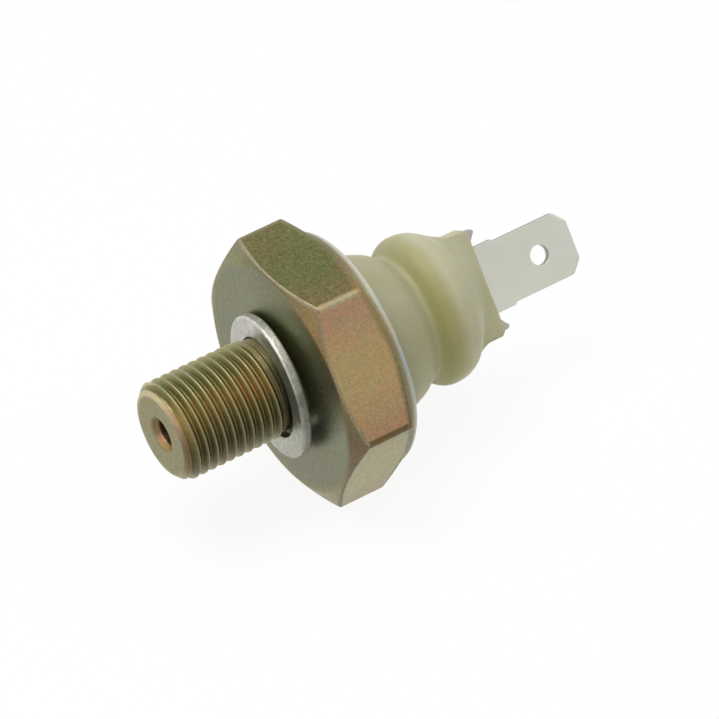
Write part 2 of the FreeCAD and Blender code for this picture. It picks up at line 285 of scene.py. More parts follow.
def half_section(corners, closed):
    """Rows (x, r) of a half section, and each row's corner number; an open one has sharp ends."""
    count = len(corners)
    places = [np.array((corner.x, corner.r), float) for corner in corners]
    lengths = [np.linalg.norm(places[(n + 1) % count] - places[n]) for n in range(count)]
    reaches = fillet_reaches(corners, places, lengths)
    spare = [(lengths[n] - reaches[n] - reaches[(n + 1) % count]) * SUPPORT_ROOM for n in range(count)]
    arcs = []
    for number, corner in enumerate(corners):
        before, here, after = places[number - 1], places[number], places[(number + 1) % count]
        if corner.steps:
            room = (spare[number - 1], spare[number])
            arcs.append(corner_arc(before, here, after, reaches[number], corner.steps, room))
        else:
            arcs.append([here])
    rows, owners = [], []
    for number, corner in enumerate(corners):
        rows.extend(arcs[number])
        if closed or number < count - 1:
            here, following = arcs[number][-1], arcs[(number + 1) % count][0]
            rows.extend(here + (following - here) * cut / corner.cuts for cut in range(1, corner.cuts))
        owners.extend([number] * (len(rows) - len(owners)))
    return rows, owners


# Housing

def hex_columns():
    """Columns around the axis, each with its angle and its offset from its flat's middle."""
    offsets = [-HALF_SECTOR] + [-offset for offset in reversed(HEX_COLUMNS)] + [0.0] + list(HEX_COLUMNS)
    middles = [90 + 2 * HALF_SECTOR * side for side in range(HEX_SIDES)]
    return [(middle + offset, offset) for middle in middles for offset in offsets]


def hex_radius(offset):
    """Radius of the rounded hexagon at an angle from a flat's middle."""
    away = math.radians(HALF_SECTOR - abs(offset))
    centre = (FLAT_R - HEX_EDGE_ROUND) / math.cos(math.pi / HEX_SIDES)
    inside = HEX_EDGE_ROUND ** 2 - (centre * math.sin(away)) ** 2
    straight = FLAT_R / math.cos(math.radians(offset))
    if inside <= 0 or abs(offset) < HEX_ROUND_FROM:
        return straight
    return min(straight, centre * math.cos(away) + math.sqrt(inside))


def housing_section(radius):
    """Closed half section of the housing where the hexagon reaches the given radius."""
    front_x = (radius - SEAT_R) * CHAMFER_SLOPE
    rear_x = HEX_LENGTH - (radius - FLAT_R) * CHAMFER_SLOPE
    return [Corner(*entry) for entry in (
        (CHAMBER_X, PORT_R, 0.05, 2, 12, "bore"),
        (PORT_FLARE_X, PORT_R, 0.3, 4, 3, "port"),
        (STEM_END_X, PORT_FLARE_R, 0.12, 4, 8, "end"),
        (STEM_END_X, STEM_END_R, 0.22, 4, 2, "lead"),
        (CORE_START_X, CORE_R, 0, 0, 2, "thread"),
        (CORE_END_X, CORE_R, 0, 0, 1, "thread"),
        (RELIEF_X, RELIEF_R, 0.1, 2, 4, "relief"),
        (0, RELIEF_R, 0.25, 4, 14, "seat"),
        (0, SEAT_R, 0.5, 4, 4, "cone"),
        (front_x, radius, 0.18, 4, 12, "flat"),
        (rear_x, radius, 0.28, 4, 4, "rear"),
        (HEX_LENGTH, RIM_R, 0.1, 3, 3, "rim"),
        (RIM_END_X, RIM_R, RIM_ROLL, 12, 4, "rim"),
        (RIM_END_X, MOUTH_R, 0.3, 4, 1, "lip"),
        (FLANGE_REAR_X, MOUTH_R, 0.05, 1, 1, "lip"),
        (FLANGE_REAR_X, CAVITY_R, 0, 0, 1, "inside"),
        (FLOOR_X, CAVITY_R, 0, 0, 1, "inside"),
        (FLOOR_X, GLAND_R[0], 0, 0, 1, "inside"),
        (GLAND_X, GLAND_R[0], 0, 0, 1, "inside"),
        (GLAND_X, GLAND_R[1], 0, 0, 1, "inside"),
        (FLOOR_X, GLAND_R[1], 0, 0, 1, "inside"),
        (FLOOR_X, CHAMBER_R, 0, 0, 1, "inside"),
        (CHAMBER_X, CHAMBER_R, 0, 0, 1, "inside"),
    )]


def around(stops):
    """Colour by angle about the axis, blended between (degrees, colour) stops."""
    stops = sorted(stops)
    angles = [angle for angle, colour in stops]
    channels = np.array([colour[:3] for angle, colour in stops]).T

    def at_angle(angle):
        return tuple(np.interp(angle % 360, angles, channel, period=360) for channel in channels) + (1.0,)
    return at_angle


def mixed(first, second, share):
    share = min(max(share, 0.0), 1.0)
    return tuple(a + (b - a) * share for a, b in zip(first, second))


def grained(colour, amount):
    """The fourth value of a tone says how grainy the plating is there."""
    return colour[:3] + (amount,)


# Tones of the housing by place: the passivation's colour together with painted shade, highlights and
# reflections by angle about the axis; angles run from +Y over +Z
# Seat face: painted shade beside the washer, darkest near 120 degrees, over the passivation colour
SEAT_TONE = around([
    (0, srgb(123, 125, 97)), (60, srgb(123, 125, 97)), (90, srgb(113, 116, 82)),
    (120, srgb(106, 108, 74)), (150, srgb(112, 114, 82)), (165, srgb(118, 122, 94)),
    (180, srgb(124, 129, 102)), (200, srgb(120, 124, 96)), (230, srgb(124, 124, 96)),
    (300, srgb(128, 128, 102)),
])
# Front chamfer: painted warm reflection near 122 degrees and painted shade darkest near 178, over the
# passivation colour
CONE_TONE = around([
    (60, srgb(132, 130, 92)), (88, srgb(112, 109, 76)), (108, srgb(128, 118, 80)),
    (122, srgb(146, 124, 84)), (150, srgb(122, 112, 80)), (178, srgb(108, 94, 68)),
    (196, srgb(114, 104, 76)), (232, srgb(140, 136, 100)), (300, srgb(140, 134, 96)),
])
# Chamfer at the stem's end: painted highlight from 60 to 120 degrees and painted shade darkest near 168
LEAD_TONE = around([
    (60, srgb(190, 184, 142)), (95, srgb(198, 188, 144)), (120, srgb(182, 156, 124)),
    (140, srgb(150, 128, 104)), (168, srgb(110, 96, 72)), (200, srgb(124, 108, 76)),
    (226, srgb(160, 146, 108)), (300, srgb(150, 142, 104)),
])
# Thread by angle: painted shade near 105 and from 158 to 204 degrees and a painted golden reflection near
# 130, over the passivation colour
FLANK_TONE = around([
    (55, srgb(156, 154, 108)), (80, srgb(132, 128, 82)), (105, srgb(118, 114, 70)),
    (128, srgb(150, 132, 76)), (142, srgb(140, 120, 72)), (158, srgb(112, 104, 64)),
    (178, srgb(90, 84, 55)), (204, srgb(96, 93, 62)), (226, srgb(142, 138, 98)),
    (300, srgb(136, 130, 86)),
])
ROOT_SHADE_TONE = around([
    (55, srgb(132, 130, 84)), (80, srgb(106, 103, 60)), (105, srgb(92, 88, 46)),
    (132, srgb(140, 114, 60)), (158, srgb(104, 94, 52)), (178, srgb(80, 73, 44)),
    (204, srgb(88, 84, 52)), (226, srgb(120, 116, 76)), (300, srgb(106, 98, 60)),
])
CREST_HIGHLIGHT_TONE = around([
    (55, srgb(160, 157, 118)), (130, srgb(144, 138, 104)), (178, srgb(122, 117, 91)),
    (226, srgb(148, 143, 110)),
])
# Relief groove: painted shade under the washer, darkest near 178 degrees
RELIEF_TONE = around([
    (60, srgb(150, 144, 104)), (100, srgb(112, 106, 72)), (135, srgb(82, 76, 50)),
    (178, srgb(66, 62, 42)), (226, srgb(120, 114, 80)), (300, srgb(130, 122, 82)),
])
# Rolled rim: silver, painted brighter on top as a highlight and darker from 142 to 200 degrees as shade
RIM_TONE = around([
    (60, srgb(197, 197, 185)), (118, srgb(198, 198, 186)), (142, srgb(174, 174, 162)),
    (156, srgb(156, 162, 160)), (180, srgb(164, 168, 160)), (240, srgb(190, 190, 180)),
])
# Port and bore: painted shade deep inside, darkest near 180 degrees, and painted warm reflections on the
# walls near 270 to 300
PORT_TONE = around([
    (10, srgb(112, 98, 66)), (60, srgb(108, 98, 64)), (110, srgb(92, 78, 48)),
    (180, srgb(84, 70, 42)), (230, srgb(138, 118, 72)), (270, srgb(162, 142, 92)),
    (300, srgb(180, 142, 112)), (330, srgb(122, 106, 74)),
])
BORE_TONE = around([
    (0, srgb(130, 104, 66)), (90, srgb(60, 46, 26)), (180, srgb(50, 38, 22)),
    (300, srgb(176, 132, 92)),
])
STEM_END = srgb(136, 133, 94)
# Front edges of the flats: the top flat's pale edge is wear and a painted highlight, the others carry a
# greyer painted reflection
PALE_EDGE = srgb(156, 148, 122)
GREY_EDGE = srgb(122, 110, 88)
RIM_FOOT = srgb(130, 122, 88)
RIM_SHADE = srgb(112, 114, 102)
INNER = srgb(150, 146, 112)

# Tone by angle, and graininess, of the regions that need nothing else
REGION_TONES = {
    "cone": (CONE_TONE, 0.5), "rear": (CONE_TONE, 0.5), "seat": (SEAT_TONE, 0.4),
    "lead": (LEAD_TONE, 0.3), "thread": (ROOT_SHADE_TONE, 0.3), "relief": (RELIEF_TONE, 0.3),
    "port": (PORT_TONE, 0.2), "bore": (BORE_TONE, 0.2),
}
THREAD_TONES = (CREST_HIGHLIGHT_TONE, FLANK_TONE, ROOT_SHADE_TONE, LEAD_TONE, RELIEF_TONE)

# Where the rim's foot ends and its shade begins, as shares of its arc, and over what share each blends
RIM_FOOT_END, RIM_FOOT_BLEND = 0.12, 0.15
RIM_SHADE_FROM, RIM_SHADE_BLEND = 0.72, 0.2

# Depths below the thread's crest, as shares of its full depth, where its tones begin and over what they
# blend; the crest is painted lighter as a highlight and the root darker as shade
FLANK_FROM, FLANK_BLEND = 0.02, 0.08
ROOT_FROM, ROOT_BLEND = 0.3, 0.55

# Graininess of the other regions
END_GRAIN = 0.35
THREAD_GRAIN = 0.3
RIM_GRAIN = 0.25
HEX_EDGE_GRAIN = 0.4
FRONT_EDGE_GRAIN = 0.6

# Each flat: tone at one side, in the middle and at the other side, and how grainy it is; passivation colour
# with painted shade and reflection by which way the flat faces, the top flat darkest
FLAT_TONES = (
    (srgb(109, 105, 66), srgb(102, 103, 61), srgb(111, 103, 65), 1.0),
    (srgb(158, 129, 103), srgb(163, 142, 98), srgb(157, 126, 94), 0.45),
    (srgb(152, 144, 104), srgb(157, 152, 110), srgb(154, 148, 110), 0.35),
    (srgb(160, 146, 104), srgb(156, 128, 96), srgb(160, 150, 110), 0.5),
    (srgb(140, 134, 92), srgb(150, 148, 112), srgb(156, 134, 92), 0.6),
    (srgb(150, 136, 92), srgb(128, 120, 78), srgb(150, 146, 112), 0.7),
)

# Half width of a flat's middle tone, and over what the side tones blend in, as shares of half a flat
FLAT_MIDDLE, FLAT_BLEND = 0.3, 0.6

# Long edges of the hexagon, which begin this many degrees from a flat's middle; their tones are painted
# highlight and shade on the rounded edges, pale between the top flat and the next, dark brown between that
# one and the third
HEX_EDGE_FROM = 28.4
HEX_EDGE_TONES = (
    srgb(132, 126, 92), srgb(154, 145, 110), srgb(98, 82, 54),
    srgb(142, 136, 100), srgb(166, 156, 116), srgb(142, 128, 88),
)


def flat_tone(offset, sector):
    """Tone of a point of a flat, and of the long edge beside it; both hold painted shade and reflection, the
    edge also a painted highlight.
    """
    if abs(offset) > HEX_EDGE_FROM:
        return grained(HEX_EDGE_TONES[(sector + (offset > 0)) % HEX_SIDES], HEX_EDGE_GRAIN)
    first, middle, last, grain = FLAT_TONES[sector]
    blend = (abs(offset / HALF_SECTOR) - FLAT_MIDDLE) / FLAT_BLEND
    return grained(mixed(middle, last if offset > 0 else first, blend), grain)


def housing_tone(region, angle, offset, sector, share):
    """Tone of one point of the housing, its passivation colour with painted shade, highlights and
    reflections; share runs from 0 to 1 over the region's arc.
    """
    if region in REGION_TONES:
        tone, grain = REGION_TONES[region]
        return grained(tone(angle), grain)
    if region == "flat":
        return flat_tone(offset, sector)
    if region == "front_edge":
        # Pale wear and painted highlight on the top flat's front edge, a greyer painted reflection on the
        # others
        edge = PALE_EDGE if sector == 0 else mixed(GREY_EDGE, HEX_EDGE_TONES[sector], 0.4)
        return grained(edge, FRONT_EDGE_GRAIN)
    if region == "rim":
        metal = mixed(RIM_FOOT, RIM_TONE(angle), (share - RIM_FOOT_END) / RIM_FOOT_BLEND)
        return grained(mixed(metal, RIM_SHADE, (share - RIM_SHADE_FROM) / RIM_SHADE_BLEND), RIM_GRAIN)
    if region == "end":
        return grained(STEM_END, END_GRAIN)
    return INNER


def lead_radius(x):
    """Radius of the chamfer at the stem's end."""
    return STEM_END_R + (x - STEM_END_X)


def thread_radius(x, radius):
    """Radius at x of a point of the profile, held between the chamfer, the rising root and the runout."""
    if x > RELIEF_X:
        return RELIEF_R - HIDDEN_DEPTH
    rise = smoothstep((x - ROOT_RISE_X) / (RELIEF_X - ROOT_RISE_X))
    root = THREAD_ROOT_R + (RELIEF_R - THREAD_ROOT_R) * rise
    runout = min(max((x - RUNOUT_X) / (RELIEF_X - RUNOUT_X), 0), 1)
    r = min(max(radius, root), THREAD_R - (THREAD_R - RELIEF_R) * runout, lead_radius(x))
    if x < CORE_START_X:
        r = min(r, lead_radius(x) - HIDDEN_DEPTH, CORE_R - 2 * HIDDEN_DEPTH)
    return r


def thread_tone(x, radius, crest, flank, root, lead, relief):
    """Crest, flank or root by depth, with the chamfer and the relief at the ends; the crest's lighter tone is
    a painted highlight, the root's darker tone painted shade.
    """
    if x > RUNOUT_X:
        return grained(relief, THREAD_GRAIN)
    if radius > lead_radius(x):
        return grained(lead, THREAD_GRAIN)
    depth = (THREAD_R - radius) / (THREAD_R - THREAD_ROOT_R)
    tone = mixed(crest, flank, (depth - FLANK_FROM) / FLANK_BLEND)
    return grained(mixed(tone, root, (depth - ROOT_FROM) / ROOT_BLEND), THREAD_GRAIN)


def thread_skin(start):
    """Helical skin over the stem's core, numbered from start; it dips under the core at both ends."""
    section = [(-u, r) for u, r in THREAD_PROFILE] + [(u, r) for u, r in reversed(THREAD_PROFILE[1:])]
    wide = len(section)
    steps = int((LAST_CREST_X - FIRST_CREST_X) / THREAD_PITCH * ROUND_STEPS)
    points, faces, tones = [], [], []
    for step in range(steps + 1):
        angle = 2 * math.pi * step / ROUND_STEPS
        crest_x = FIRST_CREST_X + THREAD_PITCH * step / ROUND_STEPS
        tones_here = [tone(math.degrees(angle)) for tone in THREAD_TONES]
        for offset, radius in section:
            x = crest_x + offset
            held_x = min(max(x, STEM_END_X + 2 * HIDDEN_DEPTH), RELIEF_X + HIDDEN_LENGTH)
            points.append(turned(held_x, thread_radius(x, radius), angle))
            tones.append(thread_tone(x, radius, *tones_here))
    for step in range(steps):
        here, there = start + step * wide, start + (step + 1) * wide
        for k in range(wide - 1):
            faces.append((here + k, here + k + 1, there + k + 1, there + k))
    return points, faces, tones


def make_housing():
    """Housing: thread, relief, seat, chamfered hexagon and rolled rim in one closed skin."""
    columns = hex_columns()
    sections = [half_section(housing_section(hex_radius(offset)), True) for angle, offset in columns]
    regions = [corner.region for corner in housing_section(FLAT_R)]
    owners = sections[0][1]
    per_sector = len(columns) // HEX_SIDES
    points, tones = [], []
    for row, owner in enumerate(owners):
        since = row - owners.index(owner)
        share = since / max(owners.count(owner) - 1, 1)
        region = regions[owner]
        if region == "flat" and since < HEX_FRONT_ROWS:
            region = "front_edge"
        if region == "rim" and regions[owner - 1] != "rim":
            share = 0.0
        for column, (angle, offset) in enumerate(columns):
            x, r = sections[column][0][row]
            points.append(turned(x, r, math.radians(angle)))
            tones.append(housing_tone(region, angle, offset, column // per_sector, share))
    faces = grid_faces(len(owners), len(columns), closed_rows=True)
    more_points, more_faces, more_tones = thread_skin(len(points))
    return new_object("housing_skin", points + more_points, faces + more_faces, tones + more_tones)


# Washer

# Washer by angle: painted shade from 112 to 196 degrees, darkest near 140 to 160, and a painted highlight
# along the edge from 60 to 110
WASHER_FACE_TONE = around([
    (60, srgb(196, 195, 186)), (88, srgb(193, 192, 181)), (112, srgb(158, 159, 147)),
    (140, srgb(138, 140, 128)), (170, srgb(148, 150, 138)), (196, srgb(170, 169, 155)),
    (230, srgb(179, 178, 163)), (320, srgb(186, 185, 174)),
])
WASHER_EDGE_TONE = around([
    (60, srgb(214, 213, 204)), (110, srgb(208, 207, 196)), (136, srgb(170, 170, 158)),
    (160, srgb(126, 128, 114)), (186, srgb(148, 149, 138)), (215, srgb(176, 175, 164)),
    (320, srgb(190, 189, 180)),
])


WASHER_EDGE_FROM = WASHER_R - 0.25
WASHER_EDGE_BLEND = 0.2


def make_washer():
    """Loose sealing washer with rounded edges, leaning on the seat."""
    rows = half_section([
        Corner(-WASHER_HALF, WASHER_BORE_R, 0.12, 4, 6), Corner(-WASHER_HALF, WASHER_R, 0.22, 5, 3),
        Corner(WASHER_HALF, WASHER_R, 0.22, 5, 6), Corner(WASHER_HALF, WASHER_BORE_R, 0.12, 4, 3),
    ], True)[0]
    lean = Matrix.Rotation(math.radians(-WASHER_LEAN), 4, "Z")
    placed = Matrix.Translation((WASHER_X, 0, -WASHER_DROP)) @ lean
    points, tones = [], []
    for x, r in rows:
        edge = smoothstep((r - WASHER_EDGE_FROM) / WASHER_EDGE_BLEND)
        for column in range(ROUND_STEPS):
            degrees = 360 * column / ROUND_STEPS
            points.append(tuple(placed @ Vector(turned(x, r, math.radians(degrees)))))
            tones.append(mixed(WASHER_FACE_TONE(degrees), WASHER_EDGE_TONE(degrees), edge))
    faces = grid_faces(len(rows), ROUND_STEPS, closed_rows=True)
    return new_object("sealing_washer_skin", points, faces, tones)


# Insulator

# Nylon's own cream, and painted shade: duller on the dome, olive yellow on the bulge's front, darker low on
# the near side
NYLON_CREAM = srgb(210, 208, 173)
NYLON_DOME_SHADE = srgb(188, 185, 149)
NYLON_BULGE_SHADE = srgb(178, 171, 107)
NYLON_LOW_SHADE = srgb(191, 189, 138)

# Places along the axis, and lengths, over which the tones of the nylon change
DOME_END, DOME_BLEND = 14.0, 3.0
YELLOW_FROM, YELLOW_RISE = 13.5, 0.8
YELLOW_TO, YELLOW_FALL = 15.2, 1.6

# Angle that faces the near side, and where the low side begins, in degrees; the painted shade is strongest
# there
NEAR_SIDE = 185
LOW_FROM, LOW_RISE = 130, 60


def insulator_corners():
    """Half section of the moulding: flange, a dome of two arcs, groove, bulge and cone."""
    return [Corner(*entry) for entry in (
        (FLANGE_FRONT_X, INSULATOR_BORE_R, 0, 0, 2),
        (FLANGE_FRONT_X, FLANGE_R, 0.1, 2, 2),
        (FLANGE_REAR_X, FLANGE_R, 0.1, 2, 2),
        (FLANGE_REAR_X, BASE_R, 0.05, 2, 4),
        (9.9, BASE_R, 5.0, 12, 4),
        (12.2, 7.35, 4.5, 10, 4),
        (13.8, 6.15, 0.55, 6, 4),
        (15.15, 7.6, 1.8, 12, 3),
        (CONE_X, CONE_R, 3.0, 12, 6),
        (BLEND_X, cone_radius(BLEND_X), 0, 0, 1),
    )]


def cone_radius(x):
    """Radius of the cone behind the bulge."""
    return CONE_R + (NECK_R - CONE_R) * (x - CONE_X) / (NECK_X - CONE_X)


def bar_radius(psi, x):
    """Reach of the rear bar at an angle from the blade's plane."""
    flat = BAR_HALF / max(abs(math.sin(psi)), TINY)
    reach = NECK_R
    if x > BAR_END_X:
        reach = min(NECK_R, (NECK_R - (x - BAR_END_X)) / max(abs(math.cos(psi)), TINY))
    if abs(flat - reach) < 4 * BAR_SOFTNESS:
        return -BAR_SOFTNESS * math.log(math.exp(-flat / BAR_SOFTNESS) + math.exp(-reach / BAR_SOFTNESS))
    return min(flat, reach)


def blend_radius(psi, share):
    """Radius where the cone falls smoothly onto the flat bar; share runs from 0 to 1 along the fall."""
    low = bar_radius(psi, BLEND_X)
    x = BLEND_X + (BAR_END_X - BLEND_X) * share
    return max(low, low + (cone_radius(x) - low) * (1 - share ** BLEND_POWER))


def insulator_rings(rows):
    """Rings of the moulding as (x, radius by angle from the blade's plane) pairs, from bore floor to rear."""
    rings = [(x, lambda psi, r=r: r) for x, r in rows]
    for step in range(1, BLEND_STEPS + 1):
        share = step / BLEND_STEPS
        rings.append((BLEND_X + (BAR_END_X - BLEND_X) * share, lambda psi, s=share: blend_radius(psi, s)))
    rings += [(x, lambda psi, x=x: bar_radius(psi, x)) for x in BAR_RINGS_X]
    for step in range(BAR_EDGE_STEPS + 1):
        turn = step * math.pi / (2 * BAR_EDGE_STEPS)
        x = REAR_X - BAR_EDGE + BAR_EDGE * math.sin(turn)
        rings.append((x, lambda psi, x=x, t=turn: bar_radius(psi, x) - BAR_EDGE * (1 - math.cos(t))))
    for share in REAR_RINGS:
        rings.append((REAR_X, lambda psi, s=share: (bar_radius(psi, REAR_X) - BAR_EDGE) * s))
    return rings


def insulator_tone(x, degrees):
    """Cream with painted shade: olive yellow on the bulge's front, above all low on the near side, darker low
    on the near side and duller on the dome.
    """
    bulge = smoothstep((x - YELLOW_FROM) / YELLOW_RISE) * (1 - smoothstep((x - YELLOW_TO) / YELLOW_FALL))
    near = 0.5 + 0.5 * math.cos(math.radians(degrees - NEAR_SIDE))
    tone = mixed(NYLON_DOME_SHADE, NYLON_CREAM, (x - DOME_END) / DOME_BLEND)
    tone = mixed(tone, NYLON_BULGE_SHADE, bulge * (0.35 + 0.65 * near))
    return mixed(tone, NYLON_LOW_SHADE, 0.45 * near * smoothstep((degrees % 360 - LOW_FROM) / LOW_RISE))


def make_insulator():
    """Cream moulding: flange, domed base, groove, bulge, cone and the flat bar behind."""
    angles = [float(angle) for angle in range(0, 360, COLUMN_STEP)]
    angles += [base + side * extra for base in (0, 180) for side in (-1, 1) for extra in BAR_SIDE_COLUMNS]
    angles = sorted(angle % 360 for angle in angles)
    bore = [(INSULATOR_FLOOR_X, 0.01), (INSULATOR_FLOOR_X, INSULATOR_BORE_R)]
    rings = insulator_rings(bore + half_section(insulator_corners(), False)[0])
    across, near = blade_axes()
    points, tones = [], []
    for x, radius_at in rings:
        for angle in angles:
            psi = math.radians(angle)
            r = radius_at(psi)
            point = Vector((x, 0, 0)) + across * (r * math.cos(psi)) + near * (r * math.sin(psi))
            points.append(tuple(point))
            tones.append(insulator_tone(x, math.degrees(math.atan2(point.z, point.y))))
    return new_object("insulator_skin", points, grid_faces(len(rings), len(angles)), tones)


# Terminal

TIN = srgb(206, 206, 195)
# Painted shade: darker tin on the side walls and on the claws
TIN_SIDE_SHADE = srgb(160, 158, 148)
CLAW_SHADE = srgb(176, 175, 168)


def blade_axes():
    """Unit vectors across the blade and out of its near side."""
    turn = math.radians(BLADE_TURN)
    return Vector((0, -math.sin(turn), -math.cos(turn))), Vector((0, -math.cos(turn), math.sin(turn)))


def terminal_half():
    """Upper half outline, crossbar to tip, as (x, distance from the middle)."""
    return [
        (CROSSBAR_X, CLAW_OUTER),
        (23.3, CLAW_OUTER), (23.55, CLAW_OUTER - 0.05), (23.7, CLAW_OUTER - 0.2), (23.72, CLAW_OUTER - 0.38),
        (23.5, CLAW_OUTER - 0.62), (23.1, CLAW_INNER + 0.16), (REAR_X, CLAW_INNER), (ROOT_X, CLAW_INNER),
        (ROOT_X, ROOT_HALF), (25.12, ROOT_HALF), (25.22, ROOT_HALF - 0.04),
        (TAB_X, BLADE_HALF + 0.04), (25.42, BLADE_HALF),
        (TIP_X - TIP_CORNER - 0.1, BLADE_HALF), (TIP_X - TIP_CORNER + 0.05, BLADE_HALF - 0.08),
        (TIP_X - 0.08, BLADE_HALF - TIP_CORNER - 0.05), (TIP_X, BLADE_HALF - TIP_CORNER - 0.22),
    ]


def stamped_mesh(name, loops):
    """Flat stamping from closed loops, with softened edges."""
    curve = bpy.data.curves.new(name, "CURVE")
    curve.dimensions = "2D"
    curve.fill_mode = "BOTH"
    for loop in loops:
        spline = curve.splines.new("POLY")
        spline.points.add(len(loop) - 1)
        for point, (x, w) in zip(spline.points, loop):
            point.co = (x, w, 0, 1)
        spline.use_cyclic_u = True
    curve.extrude = BLADE_HALF_THICKNESS - BLADE_EDGE
    curve.bevel_depth = BLADE_EDGE
    curve.bevel_resolution = 2
    curve.offset = -BLADE_EDGE
    holder = bpy.data.objects.new(name, curve)
    bpy.context.scene.collection.objects.link(holder)
    bpy.context.view_layer.update()
    mesh = bpy.data.meshes.new_from_object(holder.evaluated_get(bpy.context.evaluated_depsgraph_get()))
    bpy.data.objects.remove(holder)
    return mesh


def cut_along(mesh, lines):
    """Divides the faces of a mesh where planes of (point, normal) cross it."""
    shape = bmesh.new()
    shape.from_mesh(mesh)
    for place, normal in lines:
        parts = shape.verts[:] + shape.edges[:] + shape.faces[:]
        bmesh.ops.bisect_plane(shape, geom=parts, plane_co=place, plane_no=normal)
    shape.to_mesh(mesh)
    shape.free()


def make_terminal():
    """Stamped terminal with softened edges, its latch hole cut through."""
    upper = terminal_half()
    outline = upper + [(x, -w) for x, w in reversed(upper)]
    hole = []
    for step in range(LATCH_STEPS):
        turn = math.radians(360 - 360 * step / LATCH_STEPS)
        hole.append((LATCH_X + LATCH_R * math.cos(turn), LATCH_R * math.sin(turn)))
    mesh = stamped_mesh("terminal_outline", (outline, hole))
    cut_along(mesh, (
        ((TIP_X - TIP_BEVEL, 0, 0), (1, 0, 0)), ((TIP_LINE, 0, 0), (1, 1, 0)), ((TIP_LINE, 0, 0), (1, -1, 0)),
        ((0, CLAW_LINE, 0), (0, 1, 0)), ((0, -CLAW_LINE, 0), (0, 1, 0)),
    ))
    across, near = blade_axes()
    points, tones = [], []
    for vertex in mesh.vertices:
        x, w, n = vertex.co
        to_tip = max(1 - (TIP_X - x) / TIP_BEVEL, (x + abs(w) - TIP_LINE) / TIP_BEVEL, 0.0)
        on_side = abs(n) < BLADE_HALF_THICKNESS - 0.6 * BLADE_EDGE
        on_claw = abs(w) > CLAW_INNER and x > REAR_X
        n *= 1 - TIP_THINNING * min(to_tip, 1.0)
        points.append(tuple(Vector((x, 0, 0)) + across * w + near * n))
        # Side walls and claws take painted shade, the rest the tin's own colour
        tones.append(TIN_SIDE_SHADE if on_side else CLAW_SHADE if on_claw else TIN)
    faces = [tuple(polygon.vertices) for polygon in mesh.polygons]
    return new_object("terminal_skin", points, faces, tones, smooth=False)


# Materials

class Finish:
    """Grows the node tree of one finish around its shader."""

    def __init__(self, name):
        self.material = bpy.data.materials.new(name)
        self.material.use_nodes = True
        self.tree = self.material.node_tree
        self.tree.nodes.clear()
        out = self.add("ShaderNodeOutputMaterial")
        self.bsdf = self.add("ShaderNodeBsdfPrincipled")
        self.join(self.bsdf.outputs[0], out.inputs[0])
        coords = self.add("ShaderNodeTexCoord")
        scaled = self.add("ShaderNodeVectorMath")
        scaled.operation = "SCALE"
        scaled.inputs["Scale"].default_value = MM_PER_METRE
        self.join(coords.outputs["Object"], scaled.inputs[0])
        self.place = scaled.outputs[0]
        self.relief = None

    def add(self, kind):
        return self.tree.nodes.new(kind)

    def join(self, source, target):
        self.tree.links.new(source, target)

    def feed(self, value, socket):
        """Sets a socket to a number or a colour, or joins another node's output to it."""
        if isinstance(value, (float, int, tuple)):
            socket.default_value = value
        else:
            self.join(value, socket)

    def noise(self, scale, detail=3.0, rough=0.55, stretch=(1, 1, 1), warp=0.0):
        """Noise over the piece; scale is in cells per millimetre."""
        mapping = self.add("ShaderNodeMapping")
        mapping.inputs["Scale"].default_value = stretch
        self.join(self.place, mapping.inputs[0])
        node = self.add("ShaderNodeTexNoise")
        settings = {"Scale": scale, "Detail": detail, "Roughness": rough, "Distortion": warp}
        for name, value in settings.items():
            node.inputs[name].default_value = value
        self.join(mapping.outputs[0], node.inputs["Vector"])
        return node.outputs["Fac"]

    def tone(self):
        """The tone written on the mesh."""
        node = self.add("ShaderNodeAttribute")
        node.attribute_name = "tone"
        return node

    def ramp(self, source, stops):
        """Colour by a number, from (number, colour) stops."""
        node = self.add("ShaderNodeValToRGB")
        elements = node.color_ramp.elements
        while len(elements) > 1:
            elements.remove(elements[-1])
        for number, (position, colour) in enumerate(stops):
            element = elements.new(position) if number else elements[0]
            element.position = position
            element.color = colour
        self.join(source, node.inputs[0])
        return node.outputs[0]

    def spread(self, source, low, high):
        """Number from low to high over the usual spread of a noise."""
        node = self.add("ShaderNodeMapRange")
        limits = {"From Min": NOISE_LOW, "From Max": NOISE_HIGH, "To Min": low, "To Max": high}
        for name, value in limits.items():
            node.inputs[name].default_value = value
        self.join(source, node.inputs[0])
        return node.outputs[0]

    def mix(self, share, first, second, how="MIX"):
        node = self.add("ShaderNodeMix")
        node.data_type = "RGBA"
        node.blend_type = how
        node.clamp_result = False
        for index, value in ((0, share), (6, first), (7, second)):
            self.feed(value, node.inputs[index])
        return node.outputs[2]

    def times(self, first, second):
        """One colour times another."""
        return self.mix(1.0, first, second, "MULTIPLY")

    def bump(self, height, strength, distance):
        """Adds one layer of relief; distance is in millimetres."""
        node = self.add("ShaderNodeBump")
        node.inputs["Strength"].default_value = strength
        node.inputs["Distance"].default_value = distance * MM
        self.join(height, node.inputs["Height"])
        if self.relief is not None:
            self.join(self.relief, node.inputs["Normal"])
        self.relief = node.outputs[0]

    def finish(self, colour, rough, metallic=0.0, **settings):
        """Feeds the shader and gives the material back."""
        self.feed(colour, self.bsdf.inputs["Base Color"])
        self.feed(rough, self.bsdf.inputs["Roughness"])
        self.bsdf.inputs["Metallic"].default_value = metallic
        for name, value in settings.items():
            self.bsdf.inputs[name.replace("_", " ")].default_value = value
        if self.relief is not None:
            self.join(self.relief, self.bsdf.inputs["Normal"])
        return self.material


def tint(red, green, blue):
    return (red, green, blue, 1.0)


def grey(value):
    return tint(value, value, value)


